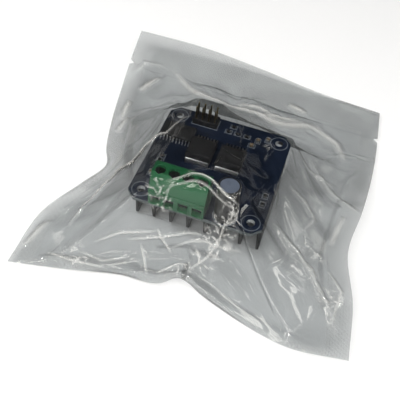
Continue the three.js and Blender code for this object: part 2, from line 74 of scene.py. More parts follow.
# ---------------------------------------------------------------- node materials
class Recipe:
    """The node tree of a material or a world, built by calls that return sockets."""

    def __init__(self, name, kind=bpy.data.materials):
        self.owner = kind.new(name)
        self.owner.use_nodes = True
        self.tree = self.owner.node_tree
        self.tree.nodes.clear()

    def node(self, kind, props=None, **inputs):
        made = self.tree.nodes.new(kind)
        for key, value in (props or {}).items():
            setattr(made, key, value)
        for key, value in inputs.items():
            self.feed(made.inputs[key.replace("_", " ")], value)
        return made

    def feed(self, socket, value):
        if isinstance(value, bpy.types.NodeSocket):
            self.tree.links.new(value, socket)
        elif isinstance(value, tuple) and len(value) == 3 and socket.type == "RGBA":
            socket.default_value = (*value, 1.0)
        else:
            socket.default_value = value

    def math(self, operation, a, b=0.0, clamp=False):
        made = self.tree.nodes.new("ShaderNodeMath")
        made.operation = operation
        made.use_clamp = clamp
        self.feed(made.inputs[0], a)
        self.feed(made.inputs[1], b)
        return made.outputs[0]

    def place(self):
        """Position in the row frame: the CAD nodes and the pieces keep their place in the mesh."""
        return self.node("ShaderNodeTexCoord").outputs["Object"]

    def attribute(self, key, output):
        return self.node("ShaderNodeAttribute", {"attribute_name": key}).outputs[output]

    def stretched(self, x, y, z, vector=None):
        made = self.node("ShaderNodeMapping", Vector=vector or self.place())
        made.inputs["Scale"].default_value = (x, y, z)
        return made.outputs["Vector"]

    def noise(self, scale, detail=3.0, rough=0.5, vector=None):
        made = self.node("ShaderNodeTexNoise", Scale=scale, Detail=detail, Roughness=rough)
        self.feed(made.inputs["Vector"], vector or self.place())
        return made.outputs["Fac"]

    def ramp(self, value, low, high, start=0.0, end=1.0):
        made = self.node("ShaderNodeMapRange", Value=value)
        made.inputs["From Min"].default_value = start
        made.inputs["From Max"].default_value = end
        made.inputs["To Min"].default_value = low
        made.inputs["To Max"].default_value = high
        return made.outputs["Result"]

    def blend(self, factor, a, b):
        made = self.tree.nodes.new("ShaderNodeMix")
        made.data_type = "RGBA"
        self.feed(made.inputs[0], factor)
        self.feed(made.inputs[6], a)
        self.feed(made.inputs[7], b)
        return made.outputs[2]

    def bump(self, height, strength, distance):
        made = self.node("ShaderNodeBump", Height=height, Strength=strength, Distance=distance)
        return made.outputs["Normal"]

    def surface(self, **inputs):
        """Ends the tree with a Principled shader."""
        made = self.tree.nodes.new("ShaderNodeBsdfPrincipled")
        for key, value in inputs.items():
            self.feed(made.inputs[key.replace("_", " ")], value)
        return self.output(made)

    def mixed(self, factor, a, b):
        """Two shader nodes mixed: all of a at 0, all of b at 1."""
        made = self.node("ShaderNodeMixShader", Fac=factor)
        self.feed(made.inputs[1], a.outputs[0])
        self.feed(made.inputs[2], b.outputs[0])
        return made

    def output(self, shader, kind="ShaderNodeOutputMaterial"):
        self.node(kind, Surface=shader.outputs[0])
        return self.owner


def solder_mask():
    """Navy solder mask over copper: pours and tracks show through as slightly paler shapes."""
    r = Recipe("solder_mask")
    cells = r.node("ShaderNodeTexVoronoi", {"distance": "CHEBYCHEV"}, Scale=190.0, Vector=r.place())
    pour = r.ramp(cells.outputs["Color"], 0.0, 1.0, 0.35, 0.4)
    tracks = r.node("ShaderNodeTexWave", {"bands_direction": "DIAGONAL"}, Scale=260.0,
                    Distortion=2.0, Detail=0.0, Vector=r.place())
    line = r.ramp(tracks.outputs["Fac"], 0.0, 1.0, 0.86, 0.93)
    cloud = r.noise(60.0, 4.0)
    ground = r.blend(pour, (0.004, 0.008, 0.019), (0.007, 0.013, 0.030))
    ground = r.blend(r.math("MULTIPLY", line, 0.4), ground, (0.010, 0.018, 0.040))
    ground = r.blend(r.math("MULTIPLY", cloud, 0.25), ground, (0.014, 0.02, 0.036))
    height = r.math("ADD", r.math("MULTIPLY", pour, 0.6), r.math("MULTIPLY", line, 0.4))
    return r.surface(
        Base_Color=ground,
        Roughness=r.ramp(r.noise(900.0), 0.3, 0.42),
        Coat_Weight=0.12,
        Coat_Roughness=0.3,
        Normal=r.bump(height, 0.25, 0.05 * MM),
    )


def laminate_edge():
    """The board's cut edge: fibreglass in thin layers."""
    r = Recipe("laminate_edge")
    layers = r.noise(1.0, 2.0, vector=r.stretched(60.0, 60.0, 5200.0))
    fibres = r.noise(2600.0, 2.0)
    colour = r.blend(layers, (0.055, 0.07, 0.085), (0.13, 0.15, 0.15))
    return r.surface(
        Base_Color=r.blend(r.math("MULTIPLY", fibres, 0.3), colour, (0.2, 0.2, 0.17)),
        Roughness=0.7,
        Normal=r.bump(fibres, 0.4, 0.03 * MM),
    )


def black_aluminium():
    """Black anodised extrusion: fine die lines run along Y."""
    r = Recipe("black_aluminium")
    lines = r.noise(1.0, 3.0, 0.6, r.stretched(3200.0, 25.0, 3200.0))
    patches = r.noise(120.0, 4.0)
    colour = r.blend(lines, (0.018, 0.019, 0.02), (0.05, 0.052, 0.054))
    return r.surface(
        Base_Color=r.blend(r.math("MULTIPLY", patches, 0.4), colour, (0.06, 0.06, 0.062)),
        Metallic=0.55,
        Roughness=r.ramp(lines, 0.38, 0.55),
        Normal=r.bump(lines, 0.3, 0.03 * MM),
    )


def tinned(name, colour, wear_and_glint, roughness):
    """Plated metal with faint streaks and dull patches."""
    r = Recipe(name)
    streaks = r.noise(1.0, 3.0, 0.6, r.stretched(2600.0, 2600.0, 400.0))
    patches = r.noise(700.0, 4.0, 0.6)
    return r.surface(
        Base_Color=r.blend(r.math("MULTIPLY", patches, 0.7), colour, wear_and_glint),
        Metallic=1.0,
        Roughness=r.ramp(streaks, roughness - 0.08, roughness + 0.12),
        Normal=r.bump(streaks, 0.2, 0.02 * MM),
    )


def brushed(name, colour, wear_and_glint):
    """A bare aluminium disc with fine streaks, which scatters more light than it mirrors."""
    r = Recipe(name)
    streaks = r.noise(1.0, 3.0, 0.6, r.stretched(2600.0, 300.0, 400.0))
    patches = r.noise(500.0, 4.0, 0.6)
    return r.surface(
        Base_Color=r.blend(patches, colour, wear_and_glint),
        Metallic=0.3,
        Roughness=r.ramp(streaks, 0.42, 0.6),
        Normal=r.bump(streaks, 0.25, 0.02 * MM),
    )


def moulding():
    """Black epoxy moulding compound: a fine matt grain."""
    r = Recipe("moulding")
    grain = r.noise(5200.0, 2.0)
    cloud = r.noise(320.0, 3.0)
    return r.surface(
        Base_Color=r.blend(cloud, (0.0065, 0.0065, 0.0075), (0.015, 0.015, 0.016)),
        Roughness=r.ramp(grain, 0.48, 0.66),
        Normal=r.bump(grain, 0.5, 0.02 * MM),
    )


def green_plastic():
    """Semi-gloss green nylon with faint flow marks."""
    r = Recipe("green_plastic")
    flow = r.noise(1.0, 3.0, 0.55, r.stretched(90.0, 160.0, 420.0))
    grain = r.noise(2600.0, 2.0)
    return r.surface(
        Base_Color=r.blend(flow, (0.010, 0.085, 0.030), (0.02, 0.13, 0.052)),
        Roughness=r.ramp(grain, 0.3, 0.46),
        Subsurface_Weight=0.08,
        Subsurface_Radius=(0.4 * MM, 0.9 * MM, 0.4 * MM),
        Normal=r.bump(grain, 0.25, 0.02 * MM),
    )


def sleeve(axis_x, axis_y):
    """Dark shrink sleeve with a paler stripe down the negative side, and shrink ripples."""
    r = Recipe("sleeve")
    spot = r.node("ShaderNodeSeparateXYZ", Vector=r.place())
    dx = r.math("SUBTRACT", spot.outputs["X"], axis_x)
    dy = r.math("SUBTRACT", spot.outputs["Y"], axis_y)
    turn = r.math("ARCTAN2", dy, dx)
    away = r.math("ABSOLUTE", r.math("SUBTRACT", turn, math.radians(-118)))
    stripe = r.ramp(away, 1.0, 0.0, 0.42, 0.46)
    ripple = r.noise(1.0, 3.0, 0.5, r.stretched(500.0, 500.0, 120.0))
    cloud = r.noise(260.0, 3.0)
    body = r.blend(cloud, (0.010, 0.010, 0.012), (0.022, 0.021, 0.022))
    return r.surface(
        Base_Color=r.blend(stripe, body, (0.03, 0.03, 0.028)),
        Roughness=r.ramp(ripple, 0.26, 0.4),
        Normal=r.bump(ripple, 0.35, 0.06 * MM),
    )


def soft_solid(name, low, high, scale):
    """A matt soft material, such as rubber or a thermal pad: mottled, with a fine tooth."""
    r = Recipe(name)
    tooth = r.noise(scale, 3.0, 0.6)
    return r.surface(
        Base_Color=r.blend(tooth, low, high),
        Roughness=0.85,
        Normal=r.bump(tooth, 0.5, 0.05 * MM),
    )


def silk_ink():
    """Screen-printed ink: off-white, a little uneven."""
    r = Recipe("silk_ink")
    speckle = r.noise(3800.0, 3.0, 0.7)
    return r.surface(
        Base_Color=r.blend(speckle, (0.26, 0.29, 0.33), (0.42, 0.45, 0.48)),
        Roughness=0.6,
        Normal=r.bump(speckle, 0.3, 0.01 * MM),
    )


def shielding_film(name, tint, glare):
    """Metallised see-through film, darker where it is steep. It reads four attributes of the mesh:
    sheet, the point's place on the flat film in metres; seal, 1 in the welded margins; fold, 1
    where the film lies double; and crease, how white the film is painted: partly creased film
    turning white, partly a painted highlight along crease crests and in crumpled patches."""
    r = Recipe(name)
    sheet = r.attribute("sheet", "Vector")
    seal, fold, crease = (r.attribute(key, "Fac") for key in ("seal", "fold", "crease"))
    micro = r.noise(90.0, 3.0, 0.45, sheet)
    ribs = [r.node("ShaderNodeTexWave", {"bands_direction": "DIAGONAL"}, Scale=330.0, Vector=way)
            for way in (sheet, r.stretched(-1.0, 1.0, 1.0, sheet))]
    hatch = r.math("MULTIPLY", *(rib.outputs["Fac"] for rib in ribs))
    hatch = r.math("MULTIPLY", hatch, seal)
    height = r.math("ADD", r.math("MULTIPLY", micro, 0.3), r.math("MULTIPLY", hatch, 0.7))
    normal = r.bump(height, 0.5, 0.06 * MM)
    haze = r.noise(45.0, 3.0, 0.5, sheet)
    dull, folded, steep = (tuple(part * c for c in tint) for part in (0.8, 0.7, 0.78))
    clear = r.blend(r.math("MULTIPLY", seal, 0.03), tint, dull)
    clear = r.blend(r.math("MULTIPLY", haze, 0.5), clear, dull)
    clear = r.blend(fold, clear, folded)
    facing = r.node("ShaderNodeLayerWeight", Blend=0.5).outputs["Facing"]
    clear = r.blend(r.ramp(facing, 0.0, 1.0, 0.25, 0.75), clear, steep)
    through = r.node("ShaderNodeBsdfTransparent", Color=clear)
    shine = r.node("ShaderNodeBsdfGlossy", Color=glare, Roughness=r.ramp(haze, 0.03, 0.06),
                   Normal=normal)
    share = r.math("ADD", r.math("MULTIPLY", r.math("POWER", facing, 5.0), 0.07), 0.014, clamp=True)
    film = r.mixed(share, through, shine)
    # The milky diffuse white is the film's own faint haze, and along creases a painted highlight.
    milk_and_glint = r.node("ShaderNodeBsdfDiffuse", Color=(0.88, 0.87, 0.83), Normal=normal)
    embossed = r.math("MULTIPLY", hatch, 0.06)
    # The crease attribute paints creases white: partly real crease whitening, partly painted highlight
    # standing in for light caught on the crests.
    milk_and_glint_share = r.math("ADD", r.math("MULTIPLY", crease, 0.45), r.ramp(haze, 0.0005, 0.003), clamp=True)
    milk_and_glint_share = r.math("ADD", milk_and_glint_share, embossed, clamp=True)
    return r.output(r.mixed(milk_and_glint_share, film, milk_and_glint))


def floor_paper():
    """Plain matt white paper."""
    r = Recipe("floor_paper")
    tooth = r.noise(700.0, 3.0)
    return r.surface(
        Base_Color=r.blend(tooth, (0.93, 0.93, 0.93), (0.95, 0.95, 0.95)),
        Roughness=0.95,
        Normal=r.bump(tooth, 0.05, 0.05 * MM),
    )


# ---------------------------------------------------------------- finishing the CAD nodes
def smooth_by_angle(mesh, degrees):
    mesh.polygons.foreach_set("use_smooth", [True] * len(mesh.polygons))
    mesh.set_sharp_from_angle(angle=math.radians(degrees))


def finish_node(name, materials, pick=None, bevel=0.0, degrees=35):
    """Paints a CAD node, face by face if `pick` says which material a face centre takes, and
    rounds its edges with modifiers only."""
    obj = nodes[name]
    mesh = obj.data
    mesh.materials.clear()
    for material in materials:
        mesh.materials.append(material)
    for face in mesh.polygons:
        face.material_index = pick(face) if pick else 0
    smooth_by_angle(mesh, degrees)
    if bevel:
        weld = obj.modifiers.new("weld", "WELD")
        weld.merge_threshold = 0.001 * MM
        rim = obj.modifiers.new("bevel", "BEVEL")
        rim.width = bevel
        rim.segments = 2
        rim.limit_method = "ANGLE"
        rim.angle_limit = math.radians(degrees)
        rim.harden_normals = True
        rim.use_clamp_overlap = True
    return obj


mask = solder_mask()
edge_glass = laminate_edge()
anodised = black_aluminium()
tin = tinned("tinned", (0.55, 0.56, 0.57), (0.36, 0.36, 0.37), 0.3)
steel = tinned("screw_steel", (0.32, 0.32, 0.33), (0.16, 0.16, 0.17), 0.32)
gold = tinned("gold_plate", (0.26, 0.21, 0.12), (0.14, 0.11, 0.07), 0.34)
can_top = brushed("can_top", (0.2, 0.235, 0.31), (0.15, 0.175, 0.235))
epoxy = moulding()
green = green_plastic()
rubber = soft_solid("rubber", (0.012, 0.012, 0.012), (0.025, 0.025, 0.025), 900.0)
thermal = soft_solid("thermal_pad", (0.2, 0.21, 0.22), (0.32, 0.33, 0.34), 1400.0)
brown = soft_solid("ceramic", (0.16, 0.12, 0.08), (0.24, 0.19, 0.13), 2600.0)
ink = silk_ink()

board_low, board_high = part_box("circuit_board")
board_top = board_high.z

finish_node("circuit_board", [mask, edge_glass], lambda f: int(abs(f.normal.z) < 0.5))
for name in nodes:
    if name.startswith("mount_ring"):
        top_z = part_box(name)[1].z - 0.2 * MM
        finish_node(name, [mask, tin], lambda f: int(abs(f.normal.z) < 0.5 and f.center.z < top_z))
    elif name.startswith("header_pin"):
        finish_node(name, [gold], bevel=0.06 * MM)
    elif name.startswith("terminal_screw"):
        finish_node(name, [steel], bevel=0.12 * MM)
    elif name.startswith("wire_clamp"):
        finish_node(name, [tin], bevel=0.08 * MM)
    elif name.startswith(("contact_pin", "capacitor_lead")):
        finish_node(name, [tin], bevel=0.06 * MM)
finish_node("heat_sink", [anodised], bevel=0.25 * MM)
finish_node("thermal_pad", [thermal], bevel=0.08 * MM)
finish_node("header_base", [epoxy], bevel=0.1 * MM)
finish_node("terminal_housing", [green], bevel=0.18 * MM)
finish_node("capacitor_bung", [rubber], bevel=0.08 * MM)

can_low, can_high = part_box("capacitor_sleeve")
can_x = (can_low.x + can_high.x) / 2
can_y = (can_low.y + can_high.y) / 2
finish_node("capacitor_can", [tin, can_top],
            lambda f: int(f.normal.z > 0.5 and f.center.z > can_high.z - MM))
finish_node("capacitor_sleeve", [sleeve(can_x, can_y)])

# The black body of each package, between its rows of leads: its middle along Y, and its depth.
MOULDED = {"power_chip_left": (3.4 * MM, 9.2 * MM), "power_chip_right": (3.4 * MM, 9.2 * MM),
           "buffer_chip": (10.4 * MM, 7.5 * MM)}
for name, (middle, depth) in MOULDED.items():
    finish_node(
        name, [epoxy, tin],
        lambda f: int(abs(f.center.y - middle) > depth / 2 + 0.02 * MM),
        bevel=0.05 * MM,
    )


def finish_chip_part(name, body):
    """Paints a small part: its body in the middle, and tinned ends."""
    low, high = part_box(name)
    middle = (low + high) / 2
    along = 0 if high.x - low.x > high.y - low.y else 1
    reach = (high[along] - low[along]) * 0.29
    finish_node(name, [body, tin], lambda f: int(abs(f.center[along] - middle[along]) > reach),
                bevel=0.04 * MM)


for name in nodes:
    if name.startswith("resistor"):
        finish_chip_part(name, epoxy)
    elif name.startswith("ceramic"):
        finish_chip_part(name, brown)


# ---------------------------------------------------------------- small pieces on the board
def add_piece(name, mesh, materials, body):
    obj = bpy.data.objects.new(name, mesh)
    scene.collection.objects.link(obj)
    for material in materials:
        mesh.materials.append(material)
    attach(obj, body)
    return obj


def mesh_of(name, builder, degrees=35):
    """A mesh from a bmesh that `builder` fills."""
    bm = bmesh.new()
    builder(bm)
    bmesh.ops.recalc_face_normals(bm, faces=bm.faces)
    mesh = bpy.data.meshes.new(name)
    bm.to_mesh(mesh)
    bm.free()
    smooth_by_angle(mesh, degrees)
    return mesh


def lofted(bm, rings):
    """Joins rings of the same number of points into a closed solid."""
    loops = [[bm.verts.new(p) for p in ring] for ring in rings]
    count = len(loops[0])
    for a, b in zip(loops, loops[1:]):
        for i in range(count):
            j = (i + 1) % count
            bm.faces.new((a[i], a[j], b[j], b[i]))
    bm.faces.new(list(reversed(loops[0])))
    bm.faces.new(loops[-1])


def circle(x, y, z, radius, sides):
    turns = [2 * math.pi * i / sides for i in range(sides)]
    return [Vector((x + radius * math.cos(t), y + radius * math.sin(t), z)) for t in turns]


def band(bm, inner, outer, low, high):
    """A flat closed band between two loops of [x, y] points, from z low to z high."""
    count = len(inner)
    layers = [[bm.verts.new((x, y, z)) for x, y in loop]
              for loop, z in ((outer, low), (outer, high), (inner, high), (inner, low))]
    for a, b in zip(layers, layers[1:] + layers[:1]):
        for i in range(count):
            j = (i + 1) % count
            bm.faces.new((a[i], a[j], b[j], b[i]))


INK = 0.03 * MM
INK_WIDTH = 0.16 * MM


def ring_loop(x, y, radius, sides=48):
    return [(p.x, p.y) for p in circle(x, y, 0, radius, sides)]


def frame_loop(x0, x1, y0, y1):
    return [(x0, y0), (x1, y0), (x1, y1), (x0, y1)]


def silk_ring(bm, x, y, radius):
    band(bm, ring_loop(x, y, radius), ring_loop(x, y, radius + INK_WIDTH), board_top, board_top + INK)


def silk_frame(bm, x0, x1, y0, y1):
    inner = frame_loop(x0 + INK_WIDTH, x1 - INK_WIDTH, y0 + INK_WIDTH, y1 - INK_WIDTH)
    band(bm, inner, frame_loop(x0, x1, y0, y1), board_top, board_top + INK)


def build_silk(bm):
    for name in nodes:
        low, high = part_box(name)
        x, y = (low.x + high.x) / 2, (low.y + high.y) / 2
        if name.startswith("mount_ring"):
            silk_ring(bm, x, y, 3.25 * MM)
        elif name.startswith(("resistor", "ceramic")):
            gap = 0.45 * MM
            silk_frame(bm, low.x - gap, high.x + gap, low.y - gap, high.y + gap)
    silk_ring(bm, can_x, can_y, 4.25 * MM)
    low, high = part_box("header_base")
    gap = 0.25 * MM
    silk_frame(bm, low.x - gap, high.x + gap, low.y - gap, high.y + gap)


add_piece("silkscreen", mesh_of("silkscreen", build_silk), [ink], "module")


def solder_cone(bm, x, y, z, radius, pin, height):
    """A solder fillet round a pin; a negative height hangs below the board."""
    steps = ((1.0, 0.0), (0.95, 0.1), (0.62, 0.38), (0.4, 0.75), (0.34, 1.0))
    rings = [circle(x, y, z + height * rise, max(radius * share, pin), 14) for share, rise in steps]
    lofted(bm, rings)


def build_solder(bm):
    under = board_low.z
    for name in nodes:
        low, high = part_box(name)
        x, y = (low.x + high.x) / 2, (low.y + high.y) / 2
        if name.startswith("header_pin"):
            solder_cone(bm, x, y, under, 0.85 * MM, 0.42 * MM, -1.1 * MM)
        elif name.startswith("contact_pin"):
            leg_y = high.y - 0.35 * MM
            solder_cone(bm, x, leg_y, under, 1.5 * MM, 0.6 * MM, -1.4 * MM)
        elif name.startswith("capacitor_lead"):
            solder_cone(bm, x, y, under, 0.95 * MM, 0.36 * MM, -1.2 * MM)


add_piece("solder_joints", mesh_of("solder_joints", build_solder, 60), [tin], "module")


# ---------------------------------------------------------------- the bag: draped films
# The bag's outline from above, one curve a side, as (x, y, seam height) in millimetres.
SEAM = {
    "near": [(-58.7, -54.2, 1), (-38, -49.6, 1), (-19, -44.7, 1), (-4, -44, 3), (2.5, -41, 6),
             (11, -43, 3), (24, -46.3, 1), (45, -51, 2), (64.4, -51, 7)],
    "far": [(-62, 80.6, 10), (-30, 83, 8), (0, 83.5, 4), (30, 81.5, 1), (58.3, 79, 1)],
    "left": [(-58.7, -54.2, 1), (-57, -30, 3), (-47.4, -14.8, 7), (-42, -5, 9), (-46, 4, 8),
             (-52, 22.5, 5), (-57.5, 48, 5), (-60.4, 67, 8), (-62, 80.6, 10)],
    "right": [(64.4, -51, 7), (62.5, -30, 6), (57, -7.3, 6), (58.8, 10.4, 7), (60.4, 33, 3),
              (60.5, 50, 1), (59.3, 67, 1), (58.3, 79, 1)],
}
COLUMNS, ROWS = 125, 145
FLAT = (130.0, 157.0)  # the film laid flat, across and along
SIM_SCALE = 0.01  # the solver works in decimetres written as metres: ten times life size
DRAPE_SEED, CREASE_SEED = 11, 23


def seam_curve(points, count):
    """Evenly spaced points along a smooth curve through the given ones."""
    points = np.array(points, float)
    at = np.concatenate(([0], np.cumsum(np.linalg.norm(np.diff(points, axis=0), axis=1))))
    slopes = np.gradient(points, at, axis=0)
    fine = np.linspace(0, at[-1], 600)
    k = np.clip(np.searchsorted(at, fine, side="right") - 1, 0, len(points) - 2)
    span = (at[k + 1] - at[k])[:, None]
    t = (fine - at[k])[:, None] / span
    curve = ((1 + 2 * t) * (1 - t) ** 2 * points[k] + t * (1 - t) ** 2 * span * slopes[k]
             + t * t * (3 - 2 * t) * points[k + 1] + t * t * (t - 1) * span * slopes[k + 1])
    gone = np.concatenate(([0], np.cumsum(np.linalg.norm(np.diff(curve, axis=0), axis=1))))
    even = np.linspace(0, gone[-1], count)
    return np.stack([np.interp(even, gone, curve[:, a]) for a in range(3)], axis=1)


def spanned(near, far, left, right):
    """The grid of points spanned by four seam curves, row by row from near to far."""
    u = np.linspace(0, 1, len(near))[None, :, None]
    v = np.linspace(0, 1, len(left))[:, None, None]
    across = near[None] * (1 - v) + far[None] * v
    along = left[:, None] * (1 - u) + right[:, None] * u
    corner = (near[0] * (1 - u) + near[-1] * u) * (1 - v) + (far[0] * (1 - u) + far[-1] * u) * v
    return across + along - corner


# What holds the top film up: (x0, x1, y0, y1, height) in millimetres.
SUPPORTS = [(-25, 25, -25, 25, 21.6), (-16, 5, -24, -16.8, 35.6), (-16, 5, -26, -24, 29.6),
            (7, 15.4, -25, -17, 38.6), (-15, -4.5, 18, 23.5, 30.4), (-24, 11, -4, 17, 26.4),
            (-12, 10, -17, -5, 33.6), (-12, 6, -5, 8, 32), (-12, 3, 8, 18, 30.4)]


def tent(x, y, slope, margin, clear):
    """Height of a tent over the supports: it starts `clear` above them and falls beyond a margin."""
    height = np.full(x.shape, -9.0)
    for x0, x1, y0, y1, top in SUPPORTS:
        dx = np.maximum(np.maximum(x0 - x, x - x1), 0)
        dy = np.maximum(np.maximum(y0 - y, y - y1), 0)
        fall = slope * np.maximum(np.hypot(dx, dy) - margin, 0)
        height = np.maximum(height, top + clear - fall)
    return height


def ripples(rng, rows, columns, pitch, size):
    """Smooth seeded unevenness: random heights every `pitch` cells, joined by cosine steps."""
    coarse = rng.normal(0, size, (rows // pitch + 3, columns // pitch + 3))
    for axis, count in ((0, rows), (1, columns)):
        at = np.arange(count) / pitch
        k = at.astype(int)
        share = (1 - np.cos(np.pi * (at - k))) / 2
        share = share[:, None] if axis == 0 else share[None]
        coarse = coarse.take(k, axis) * (1 - share) + coarse.take(k + 1, axis) * share
    return coarse


def grid_faces(rows, columns):
    """The four-sided faces of a grid of points, as rows of point numbers."""
    first = (np.arange(rows - 1)[:, None] * columns + np.arange(columns - 1)[None]).ravel()
    return np.stack([first, first + 1, first + columns + 1, first + columns], axis=1)


def evenly_laid(grid):
    """Slides a grid's points along its rows and columns until they are evenly spaced."""
    for _ in range(2):
        gone = np.linalg.norm(np.diff(grid, axis=0), axis=2).cumsum(axis=0)
        gone = np.concatenate((np.zeros((1, grid.shape[1])), gone))
        out = np.empty_like(grid)
        for c in range(grid.shape[1]):
            even = np.linspace(0, gone[-1, c], grid.shape[0])
            for a in range(3):
                out[:, c, a] = np.interp(even, gone[:, c], grid[:, c, a])
        grid = out.swapaxes(0, 1)
    return grid


def obstacle(name, builder):
    obj = bpy.data.objects.new(name, mesh_of(name, builder))
    scene.collection.objects.link(obj)
    obj.modifiers.new("collision", "COLLISION")
    obj.collision.thickness_outer = 0.006
    obj.collision.cloth_friction = 3.0
    obj.collision.damping = 0.6
    return obj


def block(bm, x0, x1, y0, y1, z0, z1):
    corners = [(x0, y0), (x1, y0), (x1, y1), (x0, y1)]
    lofted(bm, [[Vector((x, y, z)) * SIM_SCALE for x, y in corners] for z in (z0, z1)])


# The module as plain blocks that the films rest on: (x0, x1, y0, y1, z0, z1) in millimetres, with
# z from the fin tips.
BLOCKS = [
    (-25, 25, -25, 25, 19, 21.6),  # board
    (-25, 25, -15.5, 15.5, -0.2, 19.1),  # heat sink
    (-15.9, 4.6, -24.8, -16.8, 20, 35.6),  # terminal block
    (-15.9, 4.6, -25.6, -24.4, 20, 29),  # its ledge
    (-14.9, -4.5, 18.1, 23.4, 20, 30.1),  # pin header
    (-24, -11.2, 6, 14.8, 20, 24),  # buffer chip
    (-11.1, -1, -2.5, 8, 20, 26),  # left power package
    (0.5, 10.6, -2.5, 8, 20, 26),  # right power package
]
CAN_X, CAN_Y, CAN_RADIUS, CAN_LOW, CAN_HIGH = 11.2, -21, 4, 20, 38.3
# The air shut in between the tall parts: a front and a back outline, as (y, right edge, top).
AIR, AIR_LEFT, AIR_LOW = ((-17, 13, 35.2), (19, 2, 29.6)), -14, 25


def build_obstacles(bm):
    for sides in BLOCKS:
        block(bm, *sides)
    outlines = [[(AIR_LEFT, y, AIR_LOW), (right, y, AIR_LOW), (right, y, top), (AIR_LEFT, y, top)]
                for y, right, top in AIR]
    lofted(bm, [[Vector(p) * SIM_SCALE for p in outline] for outline in outlines])
    can = [circle(CAN_X * SIM_SCALE, CAN_Y * SIM_SCALE, z * SIM_SCALE, CAN_RADIUS * SIM_SCALE, 24)
           for z in (CAN_LOW, CAN_HIGH)]
    lofted(bm, can)


def build_ground(bm):
    block(bm, -150, 150, -150, 150, -12, -0.5)


def drape(name, start, pinned, frames, bending):
    """Lets a film settle over the module with the cloth solver. start is its grid in millimetres."""
    rows, columns = start.shape[:2]
    flat = np.zeros_like(start)
    flat[..., 0] = np.linspace(-0.5, 0.5, columns)[None] * FLAT[0]
    flat[..., 1] = np.linspace(0, 1, rows)[:, None] * FLAT[1] - 60
    mesh = bpy.data.meshes.new(name)
    mesh.from_pydata((start * SIM_SCALE).reshape(-1, 3).tolist(), [],
                     grid_faces(rows, columns).tolist())
    obj = bpy.data.objects.new(name, mesh)
    scene.collection.objects.link(obj)
    obj.shape_key_add(name="start")
    rest = obj.shape_key_add(name="flat")
    rest.data.foreach_set("co", (flat * SIM_SCALE).astype(np.float32).ravel())
    group = obj.vertex_groups.new(name="pins")
    group.add(np.flatnonzero(pinned.ravel()).tolist(), 1.0, "REPLACE")
    cloth = obj.modifiers.new("cloth", "CLOTH")
    cloth.settings.rest_shape_key = rest
    cloth.settings.vertex_group_mass = "pins"
    cloth.settings.quality = 7
    cloth.settings.mass = 0.25
    cloth.settings.air_damping = 1.5
    cloth.settings.tension_stiffness = 90
    cloth.settings.compression_stiffness = 60
    cloth.settings.shear_stiffness = 25
    cloth.settings.bending_stiffness = bending
    cloth.settings.tension_damping = 12
    cloth.settings.compression_damping = 12
    cloth.settings.shear_damping = 12
    cloth.settings.bending_damping = 2
    cloth.collision_settings.distance_min = 0.006
    cloth.collision_settings.collision_quality = 3
    cloth.point_cache.frame_start = 1
    cloth.point_cache.frame_end = frames
    for frame_number in range(1, frames + 1):
        scene.frame_set(frame_number)
    settled = obj.evaluated_get(bpy.context.evaluated_depsgraph_get()).to_mesh()
    points = np.empty(len(settled.vertices) * 3)
    settled.vertices.foreach_get("co", points)
    bpy.data.objects.remove(obj)
    return points.reshape(start.shape) / SIM_SCALE


def settle_bag():
    """The settled top and bottom films, as two grids of points in millimetres."""
    rng = np.random.default_rng(DRAPE_SEED)
    curves = {key: seam_curve(points, COLUMNS if key in ("near", "far") else ROWS)
              for key, points in SEAM.items()}
    base = spanned(curves["near"], curves["far"], curves["left"], curves["right"])
    edge = np.zeros((ROWS, COLUMNS), bool)
    edge[[0, -1]] = True
    edge[:, [0, -1]] = True
    x, y = base[..., 0], base[..., 1]
    top = base.copy()
    top[..., 2] = np.where(edge, base[..., 2],
                           np.maximum(base[..., 2] + 1, tent(x, y, 1.05, 3.0, 1.5)))
    top = evenly_laid(top)
    top[..., 2] += np.where(edge, 0, ripples(rng, ROWS, COLUMNS, 11, 0.9))
    away = np.hypot(np.maximum(abs(x) - 25, 0), np.maximum(abs(y) - 15.5, 0))
    under = away == 0
    bottom = base.copy()
    bottom[..., 2] = -0.35 + base[..., 2] * np.clip(away / 30, 0, 1) ** 2
    bottom[..., 2] += np.where(edge | under, 0, abs(ripples(rng, ROWS, COLUMNS, 9, 0.8)))
    ground = obstacle("ground", build_ground)
    module = obstacle("module_hull", build_obstacles)
    scene.frame_start, scene.frame_end = 1, 60
    top = drape("top_film", top, edge, 60, 3.0)
    bpy.data.objects.remove(module)
    bottom = drape("bottom_film", bottom, edge | under, 30, 6.0)
    bpy.data.objects.remove(ground)
    scene.frame_set(1)
    return top, bottom


def finer(grid):
    """Doubles a grid's density with cubic midpoints, along rows and then columns."""
    for _ in range(2):
        padded = np.concatenate(([2 * grid[0] - grid[1]], grid, [2 * grid[-1] - grid[-2]]))
        middle = (9 * (padded[1:-2] + padded[2:-1]) - padded[:-3] - padded[3:]) / 16
        out = np.empty((2 * len(grid) - 1, *grid.shape[1:]))
        out[::2] = grid
        out[1::2] = middle
        grid = out.swapaxes(0, 1)
    return grid


def eased(grid, times):
    """Evens a grid out, keeping its rim."""
    grid = grid.copy()
    for _ in range(times):
        around = grid[:-2, 1:-1] + grid[2:, 1:-1] + grid[1:-1, :-2] + grid[1:-1, 2:]
        grid[1:-1, 1:-1] = grid[1:-1, 1:-1] / 2 + around / 8
    return grid


def smoothed(t):
    """0 below 0, 1 above 1, and an even S between."""
    t = np.clip(t, 0, 1)
    return t * t * (3 - 2 * t)


def grid_normals(points):
    normals = np.cross(np.gradient(points, axis=1), np.gradient(points, axis=0))
    return normals / np.linalg.norm(normals, axis=2, keepdims=True)
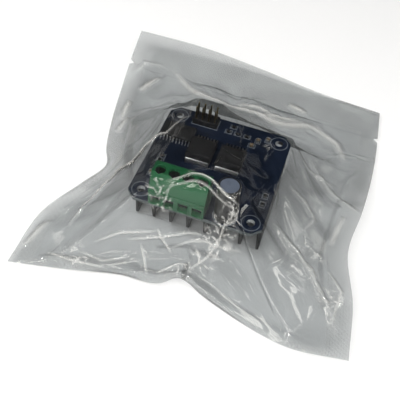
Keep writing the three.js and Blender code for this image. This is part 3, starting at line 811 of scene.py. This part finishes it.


# Creases seen on the film: points on the flat film in mm (across from its middle line, along
# from its near edge), then height, half width and how white the crease is painted: partly the
# film turning white, partly a painted highlight on the crest.
CREASES = [
    ([(-19, 77), (-37, 64), (-51, 50), (-48, 32), (-49, 17)], 1.6, 1.1, 0.9),
    ([(-13, 40), (-7, 43), (1, 43), (7, 41), (13, 41)], 0.8, 1.1, 1.0),
    ([(-13, 38), (-6, 40), (1, 40), (7, 38), (13, 38)], 0.6, 1.0, 0.6),
    ([(13, 41), (14, 37), (10, 31), (10, 25), (8, 17), (4, 10), (1, 3)], 0.9, 1.3, 0.7),
    ([(37, 96), (47, 87), (60, 77), (64, 75)], 1.4, 2.2, 0.25),
    ([(32, 48), (45, 39), (51, 32), (56, 23), (60, 11)], 1.8, 2.2, 0.3),
    ([(-33, 13), (-25, 17), (-12, 20)], 0.9, 1.3, 0.8),
    ([(-17, 14), (-13, 3)], 1.0, 1.5, 0.7),
    ([(-12, 21), (-6, 11)], 1.0, 1.3, 0.8),
    ([(-22, 15), (-6, 19), (4, 21)], 0.9, 1.3, 0.8),
    ([(2, 8), (-10, 4)], 0.9, 1.4, 0.8),
    ([(-8, 12), (5, 20), (18, 24)], 0.8, 1.3, 0.6),
    ([(-40, 8), (-30, 6), (-20, 9)], 0.8, 1.3, 0.6),
    ([(-52, 5), (-40, 3), (-28, 4)], 0.7, 1.4, 0.8),
    ([(-56, 119), (-48, 132)], 1.1, 2.6, 0.75),
    ([(-61, 95), (-59, 110)], 1.0, 2.4, 0.7),
    ([(-61, 85), (-58, 98)], 0.9, 2.0, 0.6),
    ([(-41, 138), (-31, 131), (-19, 128), (1, 128), (20, 130), (38, 133)], 1.1, 3.6, 0.75),
    ([(-26, 133), (-16, 110), (-6, 84)], 0.8, 2.8, 0.25),
    ([(-6, 131), (6, 134), (16, 132)], 0.8, 2.6, 0.7),
    ([(4, 128), (14, 133), (26, 134)], 0.8, 2.4, 0.7),
    ([(24, 134), (36, 130), (46, 123), (52, 112)], 1.0, 2.8, 0.5),
    ([(27, 92), (38, 88), (52, 90)], 0.8, 2.2, 0.3),
    ([(30, 70), (40, 68), (47, 61), (46, 50)], 0.9, 2.4, 0.3),
    ([(19, 143), (29, 140)], 0.9, 2.6, 0.6),
    ([(-47, 140), (-58, 138), (-62, 128)], 0.7, 1.6, 0.2),
    ([(-59, 21), (-62, 8)], 1.0, 2.5, 0.5),
    ([(59, 71), (58, 52)], 0.9, 2.4, 0.5),
    ([(49, 37), (53, 32)], 0.9, 1.6, 0.9),
    ([(57, 38), (61, 30), (58, 15)], 0.8, 1.6, 0.7),
]
# Crumpled patches: centre and radius on the flat film, and height.
CRUMPLED = [
    (12, 37, 6, 0.8), (10, 30, 6, 0.9), (9, 22, 7, 0.9), (6, 13, 7, 0.8), (1, 4, 6, 0.7),
    (-15, 37, 6, 0.9), (-12, 31, 5, 0.5), (-40, 6, 8, 0.5), (50, 44, 7, 0.5), (57, 26, 6, 0.6),
]


def ridge(x, y, line, height, width):
    """A sharp crease along a line on the flat film, fading out at both ends."""
    nearest = np.full(x.shape, 1e9)
    share = np.zeros(x.shape)
    line = np.array(line, float)
    lengths = np.linalg.norm(np.diff(line, axis=0), axis=1)
    gone = 0.0
    for start, step, length in zip(line, np.diff(line, axis=0), lengths):
        t = ((x - start[0]) * step[0] + (y - start[1]) * step[1]) / length ** 2
        t = np.clip(t, 0, 1)
        distance = np.hypot(x - start[0] - t * step[0], y - start[1] - t * step[1])
        share = np.where(distance < nearest, (gone + t * length) / lengths.sum(), share)
        nearest = np.minimum(nearest, distance)
        gone += length
    fade = np.sqrt(np.sin(np.pi * np.clip(share, 0, 1)))
    return height * fade * np.clip(1 - nearest / width, 0, 1) ** 1.15


# Where the film is folded over itself: a line, then the half width and how dark it is.
FOLDED = [
    ([(-28, 63), (-37, 58), (-48, 52), (-53, 46)], 5.5, 1.0),
    ([(1, -6), (1, 9)], 1.3, 1.0),
    ([(-12, 13), (2, 15), (12, 19)], 1.2, 0.6),
]


def stray_creases(rng, x, y, count, height):
    """Seeded short creases all over a film, from handling."""
    total = np.zeros(x.shape)
    for _ in range(count):
        start = np.array((rng.uniform(-60, 60), rng.uniform(0, FLAT[1])))
        turn = rng.uniform(0, math.pi)
        reach = rng.uniform(8, 34) * np.array((math.cos(turn), math.sin(turn)))
        bow = rng.uniform(-0.12, 0.12) * np.array((-reach[1], reach[0]))
        line = (start - reach / 2, start + bow, start + reach / 2)
        total += ridge(x, y, line, height * rng.uniform(-1, 1), rng.uniform(0.8, 2.2))
    return total


def crumple(rng, x, y):
    """Small sharp facets in the crumpled patches, ridged at two sizes, and their white edges: partly
    creased film turning white, partly painted glints along the facet crests.
    """
    coarse = 1 - np.minimum(abs(ripples(rng, *x.shape, 7, 0.8)), 1)
    fine = 1 - np.minimum(abs(ripples(rng, *x.shape, 4, 0.8)), 1)
    total = np.zeros(x.shape)
    white_and_glint = np.zeros(x.shape)
    for across, along, radius, height in CRUMPLED:
        near = smoothed(1.6 * (1 - np.hypot(x - across, y - along) / radius))
        total = np.maximum(total, near * height * (0.65 * coarse + 0.35 * fine))
        white_and_glint = np.maximum(white_and_glint, near * smoothed((np.maximum(coarse, fine) - 0.86) / 0.14))
    return total, white_and_glint


def notch(grid, row, reach=14, depth=4.5):
    """Cuts a small V into both side edges at a row, by drawing the edge points inwards."""
    index = np.arange(float(reach))
    for r in range(row - 2, row + 3):
        inset = depth * (1 - abs(r - row) / 3)
        for line in (grid[r], grid[r, ::-1]):
            kept = line[:reach].copy()
            at = inset + index * (reach - 1 - inset) / (reach - 1)
            for a in range(3):
                line[:reach, a] = np.interp(at, index, kept[:, a])


def film_mesh(name, films):
    """A mesh of thin closed sheets. films holds (points, marks) pairs, and marks has one grid of
    values for each attribute that the film's material reads."""
    verts, faces = [], []
    base = 0
    for points, _ in films:
        rows, columns = points.shape[:2]
        size = rows * columns
        offset = grid_normals(points) * FILM / 2
        verts += [(points - offset).reshape(-1, 3), (points + offset).reshape(-1, 3)]
        quads = grid_faces(rows, columns)
        index = np.arange(size).reshape(rows, columns)
        rim = np.concatenate((index[0, :-1], index[:-1, -1], index[-1, :0:-1], index[:0:-1, 0]))
        after = np.roll(rim, -1)
        walls = np.stack([rim, after, after + size, rim + size], axis=1)
        faces += [quads[:, ::-1] + base, quads + size + base, walls + base]
        base += 2 * size
    mesh = bpy.data.meshes.new(name)
    mesh.from_pydata((np.concatenate(verts) * MM).tolist(), [], np.concatenate(faces).tolist())
    for key, first in films[0][1].items():
        kind, field = ("FLOAT_VECTOR", "vector") if first.ndim == 3 else ("FLOAT", "value")
        both_sides = np.concatenate([marks[key].ravel() for _, marks in films for _ in range(2)])
        attribute = mesh.attributes.new(key, kind, "POINT")
        attribute.data.foreach_set(field, both_sides.astype(np.float32))
    smooth_by_angle(mesh, 50)
    return mesh


SIDE_SEAL, NEAR_SEAL, FAR_SEAL = 8.0, 2.5, 19.0  # widths of the welded margins
TEAR_SHARE = 123.5 / 144  # how far along the bag the tear runs
EASE = 10
FILM = 0.12  # thickness of each film
FILM_GAP = 0.04  # between the films where they are welded
TOP_FLOOR, BOTTOM_FLOOR = -0.3, -0.6  # the lowest each film's middle may sag, from the fin tips
# The white along a crest is partly painted highlight, standing in for light caught there.
SHARP_WIDTH = 1.9  # a crease narrower than this whitens only along its crest
CREST, BROAD_SHARE = 0.55, 0.7  # half width of that white line, and of a broad crease's part


def add_bag(top, bottom):
    """Presses the creases into the settled films, and builds the bag and its tear strip."""
    rng = np.random.default_rng(CREASE_SEED)
    fin_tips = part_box("heat_sink")[0] / MM
    top, bottom = finer(eased(top, EASE)), finer(eased(bottom, EASE))
    rows, columns = top.shape[:2]
    across = np.linspace(-0.5, 0.5, columns)[None].repeat(rows, 0) * FLAT[0]
    along = np.linspace(0, 1, rows)[:, None].repeat(columns, 1) * FLAT[1]
    margin = np.minimum(FLAT[0] / 2 - abs(across) - SIDE_SEAL,
                        np.minimum(along - NEAR_SEAL, FLAT[1] - along - FAR_SEAL))
    seal = smoothed(1 - margin / 0.6)
    apart = smoothed(margin / 5)[..., None]
    relief = stray_creases(rng, across, along, 90, 0.55) * smoothed((margin + 6) / 8)
    # How white each point of the film is painted: creased film turning white, and painted highlights
    # along crests and in crumpled patches.
    wear_and_glint = np.zeros(across.shape)
    for line, height, width, white_and_glint in CREASES:
        relief += ridge(across, along, line, height, width)
        white_glint_width = CREST if width < SHARP_WIDTH else BROAD_SHARE * width
        wear_and_glint = np.maximum(wear_and_glint, ridge(across, along, line, white_and_glint, white_glint_width))
    facets, white_and_glint = crumple(rng, across, along)
    relief += facets
    wear_and_glint = np.maximum(wear_and_glint, 0.7 * white_and_glint)
    top = top + grid_normals(top) * relief[..., None]
    bottom = bottom + grid_normals(bottom) * stray_creases(rng, across, along, 40, 0.4)[..., None]
    lowest = top - np.array((0, 0, FILM + FILM_GAP))
    bottom = lowest + (bottom - lowest) * apart
    bottom[..., 2] = np.minimum(bottom[..., 2], lowest[..., 2])
    top[..., 2] = np.maximum(top[..., 2], TOP_FLOOR)
    bottom[..., 2] = np.maximum(bottom[..., 2], BOTTOM_FLOOR)
    tear = int(round((rows - 1) * TEAR_SHARE))
    notch(top, tear)
    notch(bottom, tear)
    sheet = np.stack((across, along, np.zeros_like(across)), axis=2) * MM
    under = sheet + np.array((0.2, 0.3, 0))
    fold = np.zeros(across.shape)
    for line, width, dark in FOLDED:
        fold = np.maximum(fold, dark * smoothed(2.1 * ridge(across, along, line, 1.0, width)))
    upper = (top, {"sheet": sheet, "seal": seal, "fold": fold, "crease": wear_and_glint})
    lower = (bottom, {"sheet": under, "seal": seal, "fold": 0 * fold, "crease": 0 * wear_and_glint})
    kept, torn = slice(0, tear + 1), slice(tear, None)
    for name, body, stands_for, part, layers in (
        ("bag_film_top", "bag", "bag_top_film", kept, (upper,)),
        ("bag_film_bottom", "bag", "bag_bottom_film", kept, (lower,)),
        ("tear_strip", "tear_strip", "bag_tear_strip", torn, (upper, lower)),
    ):
        films = [(points[part] + (0, 0, fin_tips.z), {key: grid[part] for key, grid in marks.items()})
                 for points, marks in layers]
        obj = add_piece(name, film_mesh(name, films), [film], body)
        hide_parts(stands_for)
        if body == "bag":
            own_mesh(obj)


film = shielding_film("film", (0.935, 0.941, 0.943), (0.96, 0.95, 0.92))
add_bag(*settle_bag())


# ---------------------------------------------------------------- floor, light and camera
# Where the camera sees itself mirrored in level film, as a direction out of the scene.
MIRRORED = (-0.151, 0.606, 0.781)
PANEL_STRENGTH = 13.0
FLOOR_HALF = 3.0


def add_floor():
    bm = bmesh.new()
    bmesh.ops.create_grid(bm, x_segments=1, y_segments=1, size=FLOOR_HALF)
    mesh = bpy.data.meshes.new("floor")
    bm.to_mesh(mesh)
    bm.free()
    floor = bpy.data.objects.new("floor", mesh)
    floor.location.z = cad_box[0].z - 0.25 * MM
    mesh.materials.append(floor_paper())
    scene.collection.objects.link(floor)


def add_light(name, place, aim, size, watts, tint=(1, 1, 1)):
    """A rectangular area light at `place`, facing `aim`."""
    data = bpy.data.lights.new(name, "AREA")
    data.shape = "RECTANGLE"
    data.size, data.size_y = size
    data.energy = watts
    data.color = tint
    light = bpy.data.objects.new(name, data)
    light.location = place
    direction = Vector(aim) - Vector(place)
    light.rotation_mode = "QUATERNION"
    light.rotation_quaternion = direction.to_track_quat("-Z", "Y")
    scene.collection.objects.link(light)
    return light


def add_world():
    """Dim even light, white beyond the floor, and soft panels that only reflections see. The
    panels keep clear of MIRRORED, so the level film over the board stays clear."""
    r = Recipe("studio", bpy.data.worlds)
    sky = r.node("ShaderNodeTexCoord").outputs["Generated"]
    patch = r.ramp(r.noise(5.0, 1.0, 0.5, sky), 0.0, 1.0, 0.57, 0.63)
    toward = r.node("ShaderNodeVectorMath", {"operation": "DOT_PRODUCT"})
    r.feed(toward.inputs[0], sky)
    r.feed(toward.inputs[1], MIRRORED)
    aside = r.ramp(toward.outputs["Value"], 0.0, PANEL_STRENGTH, 0.72, 0.45)
    rise = r.node("ShaderNodeSeparateXYZ", Vector=sky).outputs["Z"]
    level = r.math("MULTIPLY", r.math("MULTIPLY", patch, aside), r.ramp(rise, 0.0, 1.0, 0.2, 0.4))
    rays = r.node("ShaderNodeLightPath").outputs
    even = r.node("ShaderNodeBackground", Color=(0.95, 0.97, 1.0),
                  Strength=r.ramp(rays["Is Camera Ray"], 0.06, 1.0))
    panels = r.node("ShaderNodeBackground", Color=(1.0, 0.98, 0.93), Strength=level)
    scene.world = r.output(r.mixed(rays["Is Glossy Ray"], even, panels), "ShaderNodeOutputWorld")


def add_camera():
    """The photograph's camera: its heading, height angle, lean, place and lens."""
    azimuth, elevation, roll = (math.radians(a) for a in (13.98, 51.39, 6.25))
    back = Vector((math.sin(azimuth) * math.cos(elevation), -math.cos(azimuth) * math.cos(elevation),
                   math.sin(elevation)))
    data = bpy.data.cameras.new("camera")
    data.lens = 53.12
    data.clip_start = 0.01
    camera = bpy.data.objects.new("camera", data)
    camera.location = (32.46 * MM, -144.59 * MM, 186.38 * MM)
    camera.rotation_mode = "QUATERNION"
    camera.rotation_quaternion = (-back).to_track_quat("-Z", "Y") @ Quaternion((0, 0, 1), roll)
    scene.collection.objects.link(camera)
    scene.camera = camera


add_floor()
add_world()
key = add_light("key", (-0.05, -0.6, 0.88), (0, 0, 0), (0.9, 0.8), 13.0, (1.0, 0.99, 0.97))
key.visible_glossy = False
add_light("back", (-0.75, 1.05, 0.25), (0, 0, 0.02), (0.8, 0.25), 1.4, (1.0, 0.96, 0.88))
add_light("front", (0.15, -1.2, 0.16), (0, 0, 0.02), (1.2, 0.25), 1.6, (0.97, 0.98, 1.0))
add_light("glint_left", (-0.55, -0.25, 0.75), (0, 0, 0), (0.1, 0.1), 2.4)
add_light("glint_right", (0.5, -0.35, 0.75), (0, 0, 0), (0.1, 0.1), 1.6)
add_camera()
scene.view_settings.view_transform = "Standard"
scene.cycles.transparent_max_bounces = 32
